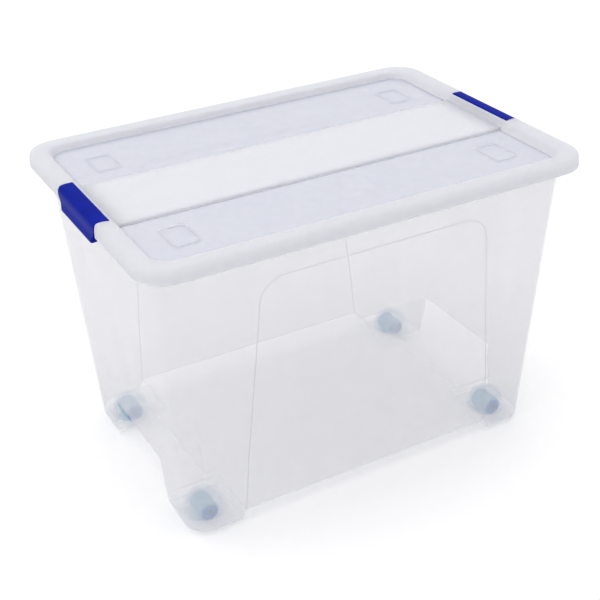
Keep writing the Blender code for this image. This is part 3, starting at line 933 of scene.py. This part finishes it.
def make_rollers(material, hub_shade_material):
    """Rollers with a crowned tread and a hub; the recessed faces are darker, painted shade for the recess.
    """
    radius = (ROLLER_HIGH.z - ROLLER_LOW.z) / 2
    half = (ROLLER_HIGH.y - ROLLER_LOW.y) / 2
    bore = (PIN_HIGH.z - PIN_LOW.z) / 2 + BORE_GAP
    face = [(bore + out * MM, half - back * MM) for out, back in ROLLER_HUB]
    face += [(radius - inward * MM, half - back * MM) for inward, back in ROLLER_TREAD]
    profile = face + [(radius, half * 0.4)] + [(radius, -half * 0.4)] + [(r, -z) for r, z in reversed(face)]
    for corner, side_x, side_y in CORNERS:
        name = f"roller_{corner}"
        centre = roller_centre(side_x, side_y)
        roller = lathe(f"{name}_wheel", centre, profile, material, turn=LAID_DOWN, steps=56, close=True,
                       smooth=30)
        # The recessed faces take the darker colour that paints their shade.
        roller.data.materials.append(hub_shade_material)
        for facet in roller.data.polygons:
            off = facet.center - centre
            if abs(off.y) > half * HUB_SHARE and math.hypot(off.x, off.z) < radius - HUB_FACE_EDGE:
                facet.material_index = 1
        settle(roller, name, "grey_plastic", name)


def make_pins(material):
    """Steel pins with chamfered ends."""
    radius = (PIN_HIGH.z - PIN_LOW.z) / 2
    half = (PIN_HIGH.y - PIN_LOW.y) / 2
    side = [(PIN_MIDDLE, half)] + [(radius - inward * MM, half - back * MM) for inward, back in PIN_END]
    side.append((radius, half * 0.5))
    profile = side + [(r, -z) for r, z in reversed(side)]
    for corner, side_x, side_y in CORNERS:
        node = f"axle_pin_{corner}"
        pin = lathe(f"{node}_turned", roller_centre(side_x, side_y), profile, material, turn=LAID_DOWN,
                    steps=32, close=True)
        settle(pin, "tub", "steel", node)


# ---------------------------------------------------------------- stage


def make_camera():
    yaw, pitch, roll = (math.radians(angle) for angle in CAMERA_TURN)
    forward = Vector((-math.sin(yaw) * math.cos(pitch), math.cos(yaw) * math.cos(pitch), math.sin(pitch)))
    right = Vector((math.cos(yaw), math.sin(yaw), 0))
    up = right.cross(forward)
    turned_right = right * math.cos(roll) + up * math.sin(roll)
    turned_up = up * math.cos(roll) - right * math.sin(roll)
    data = bpy.data.cameras.new("camera")
    data.lens = CAMERA_LENS
    data.sensor_width = 36
    data.clip_end = 50
    camera = bpy.data.objects.new("camera", data)
    turned = Matrix((turned_right, turned_up, -forward)).transposed().to_4x4()
    camera.matrix_world = Matrix.Translation(CAMERA_PLACE) @ turned
    bpy.context.scene.collection.objects.link(camera)
    bpy.context.scene.camera = camera


def make_light():
    """One wide soft light overhead."""
    data = bpy.data.lights.new("overhead", "AREA")
    data.size = LIGHT_SIZE
    data.energy = LIGHT_POWER
    light = bpy.data.objects.new("overhead", data)
    light.location = LIGHT_PLACE
    light.rotation_euler = (Vector(LIGHT_TARGET) - Vector(LIGHT_PLACE)).to_track_quat("-Z", "Y").to_euler()
    bpy.context.scene.collection.objects.link(light)


def make_world():
    world = bpy.data.worlds.new("studio")
    world.use_nodes = True
    background = world.node_tree.nodes["Background"]
    background.inputs["Color"].default_value = (1, 1, 1, 1)
    background.inputs["Strength"].default_value = WORLD_STRENGTH
    bpy.context.scene.world = world
    bpy.context.scene.view_settings.view_transform = "Standard"


def make_stage_floor():
    shape = bmesh.new()
    bmesh.ops.create_grid(shape, x_segments=8, y_segments=8, size=FLOOR_HALF)
    floor = add_object("studio_floor", mesh_of(shape, "studio_floor"), floor_finish())


# ---------------------------------------------------------------- operators


def finishes():
    """The box's materials, made once."""
    colours = bpy.context.scene.box_colours
    if "clear_tub" not in bpy.data.materials:
        clear_finish("clear_tub", colours.clear, colours.clear_veil)
        clear_finish("panel_line", shade(colours.clear, 0.9), veil=0.35)
        # Painted light: the inner parts are lifted paler than the walls to make up for the shade inside the
        # tub.
        clear_finish("clear_inner_lit", colours.inner, colours.clear_veil * 0.85, through=0.62)
        clear_finish("clear_end_lit", colours.inner, colours.clear_veil * 0.3, through=0.5)
        clear_finish("cheek_clear", colours.dome, veil=0.06)
        clear_finish("dome_clear", colours.dome, veil=0.16, roughness=0.05)
        clear_finish("lid_clear", colours.panel, veil=0.44)
        frosted_finish("lid_frosted", colours.frosted, cover=0.92)
        frosted_finish("lid_rim_white", colours.frosted, cover=0.86, roughness=0.3)
        blue_finish(colours.blue)
        grey_finish("roller_grey", colours.grey)
        # Painted shade: the darker colour of the rollers' recessed faces.
        grey_finish("roller_hub_shade", colours.hub)
        steel_finish(colours.steel)
    return bpy.data.materials


class BOX_OT_tub(bpy.types.Operator):
    """Build the tub: walls, rim, floor, raised ends, wheel domes and feet"""

    bl_idname = "storage_box.tub"
    bl_label = "Tub"

    def execute(self, context):
        sizes = context.scene.box_sizes
        made = finishes()
        make_tub_walls(made["clear_tub"], sizes.wall, sizes.edge)
        make_panel_lines(made["panel_line"], sizes.line)
        make_floor(made["clear_inner_lit"], sizes.wall)
        for name, side in (("raised_end_left", -1), ("raised_end_right", 1)):
            make_raised_end(name, side, made["clear_end_lit"], sizes.wall)
        make_domes(made["dome_clear"], sizes.wall, sizes.dome_height)
        make_foot_walls(made["clear_end_lit"], sizes.wall)
        make_foot_plates(made["clear_inner_lit"], sizes.wall)
        make_cheeks(made["cheek_clear"])
        return {"FINISHED"}


class BOX_OT_lid(bpy.types.Operator):
    """Build the lid: rim, clear panels with stacking hollows, and the frosted band"""

    bl_idname = "storage_box.lid"
    bl_label = "Lid"

    def execute(self, context):
        wall = context.scene.box_sizes.lid_wall
        made = finishes()
        make_lid_rim(made["lid_rim_white"], wall)
        make_lid_panels(made["lid_clear"], wall)
        make_lid_band(made["lid_frosted"], wall)
        make_stack_beads(made["lid_rim_white"])
        return {"FINISHED"}


class BOX_OT_clips(bpy.types.Operator):
    """Build the two clips"""

    bl_idname = "storage_box.clips"
    bl_label = "Clips"

    def execute(self, context):
        make_clips(finishes()["clip_blue"])
        return {"FINISHED"}


class BOX_OT_rollers(bpy.types.Operator):
    """Build the four rollers and their pins"""

    bl_idname = "storage_box.rollers"
    bl_label = "Rollers"

    def execute(self, context):
        make_rollers(finishes()["roller_grey"], finishes()["roller_hub_shade"])
        make_pins(finishes()["pin_steel"])
        return {"FINISHED"}


class BOX_OT_stage(bpy.types.Operator):
    """Set the pale floor, soft lights and camera"""

    bl_idname = "storage_box.stage"
    bl_label = "Stage"

    def execute(self, context):
        make_world()
        make_stage_floor()
        make_light()
        make_camera()
        context.scene.cycles.transparent_max_bounces = CLEAR_SURFACES
        context.scene.cycles.denoising_input_passes = "RGB_ALBEDO"
        return {"FINISHED"}


OPERATORS = (BOX_OT_stage, BOX_OT_tub, BOX_OT_lid, BOX_OT_clips, BOX_OT_rollers)


class BOX_PT_panel(bpy.types.Panel):
    """Lists the box's builders and settings"""

    bl_label = "Storage Box"
    bl_idname = "BOX_PT_panel"
    bl_space_type = "VIEW_3D"
    bl_region_type = "UI"
    bl_category = "Storage Box"

    def draw(self, context):
        for group in (context.scene.box_sizes, context.scene.box_colours):
            for name in group.__annotations__:
                self.layout.prop(group, name)
        for operator in OPERATORS:
            self.layout.operator(operator.bl_idname)


CLASSES = (BoxSizes, BoxColours, *OPERATORS, BOX_PT_panel)


def register():
    for cls in CLASSES:
        bpy.utils.register_class(cls)
    bpy.types.Scene.box_sizes = PointerProperty(type=BoxSizes)
    bpy.types.Scene.box_colours = PointerProperty(type=BoxColours)


def unregister():
    del bpy.types.Scene.box_colours
    del bpy.types.Scene.box_sizes
    for cls in reversed(CLASSES):
        bpy.utils.unregister_class(cls)


def main():
    register()
    for operator in OPERATORS:
        category, name = operator.bl_idname.split(".")
        getattr(getattr(bpy.ops, category), name)()


if __name__ == "__main__":
    main()
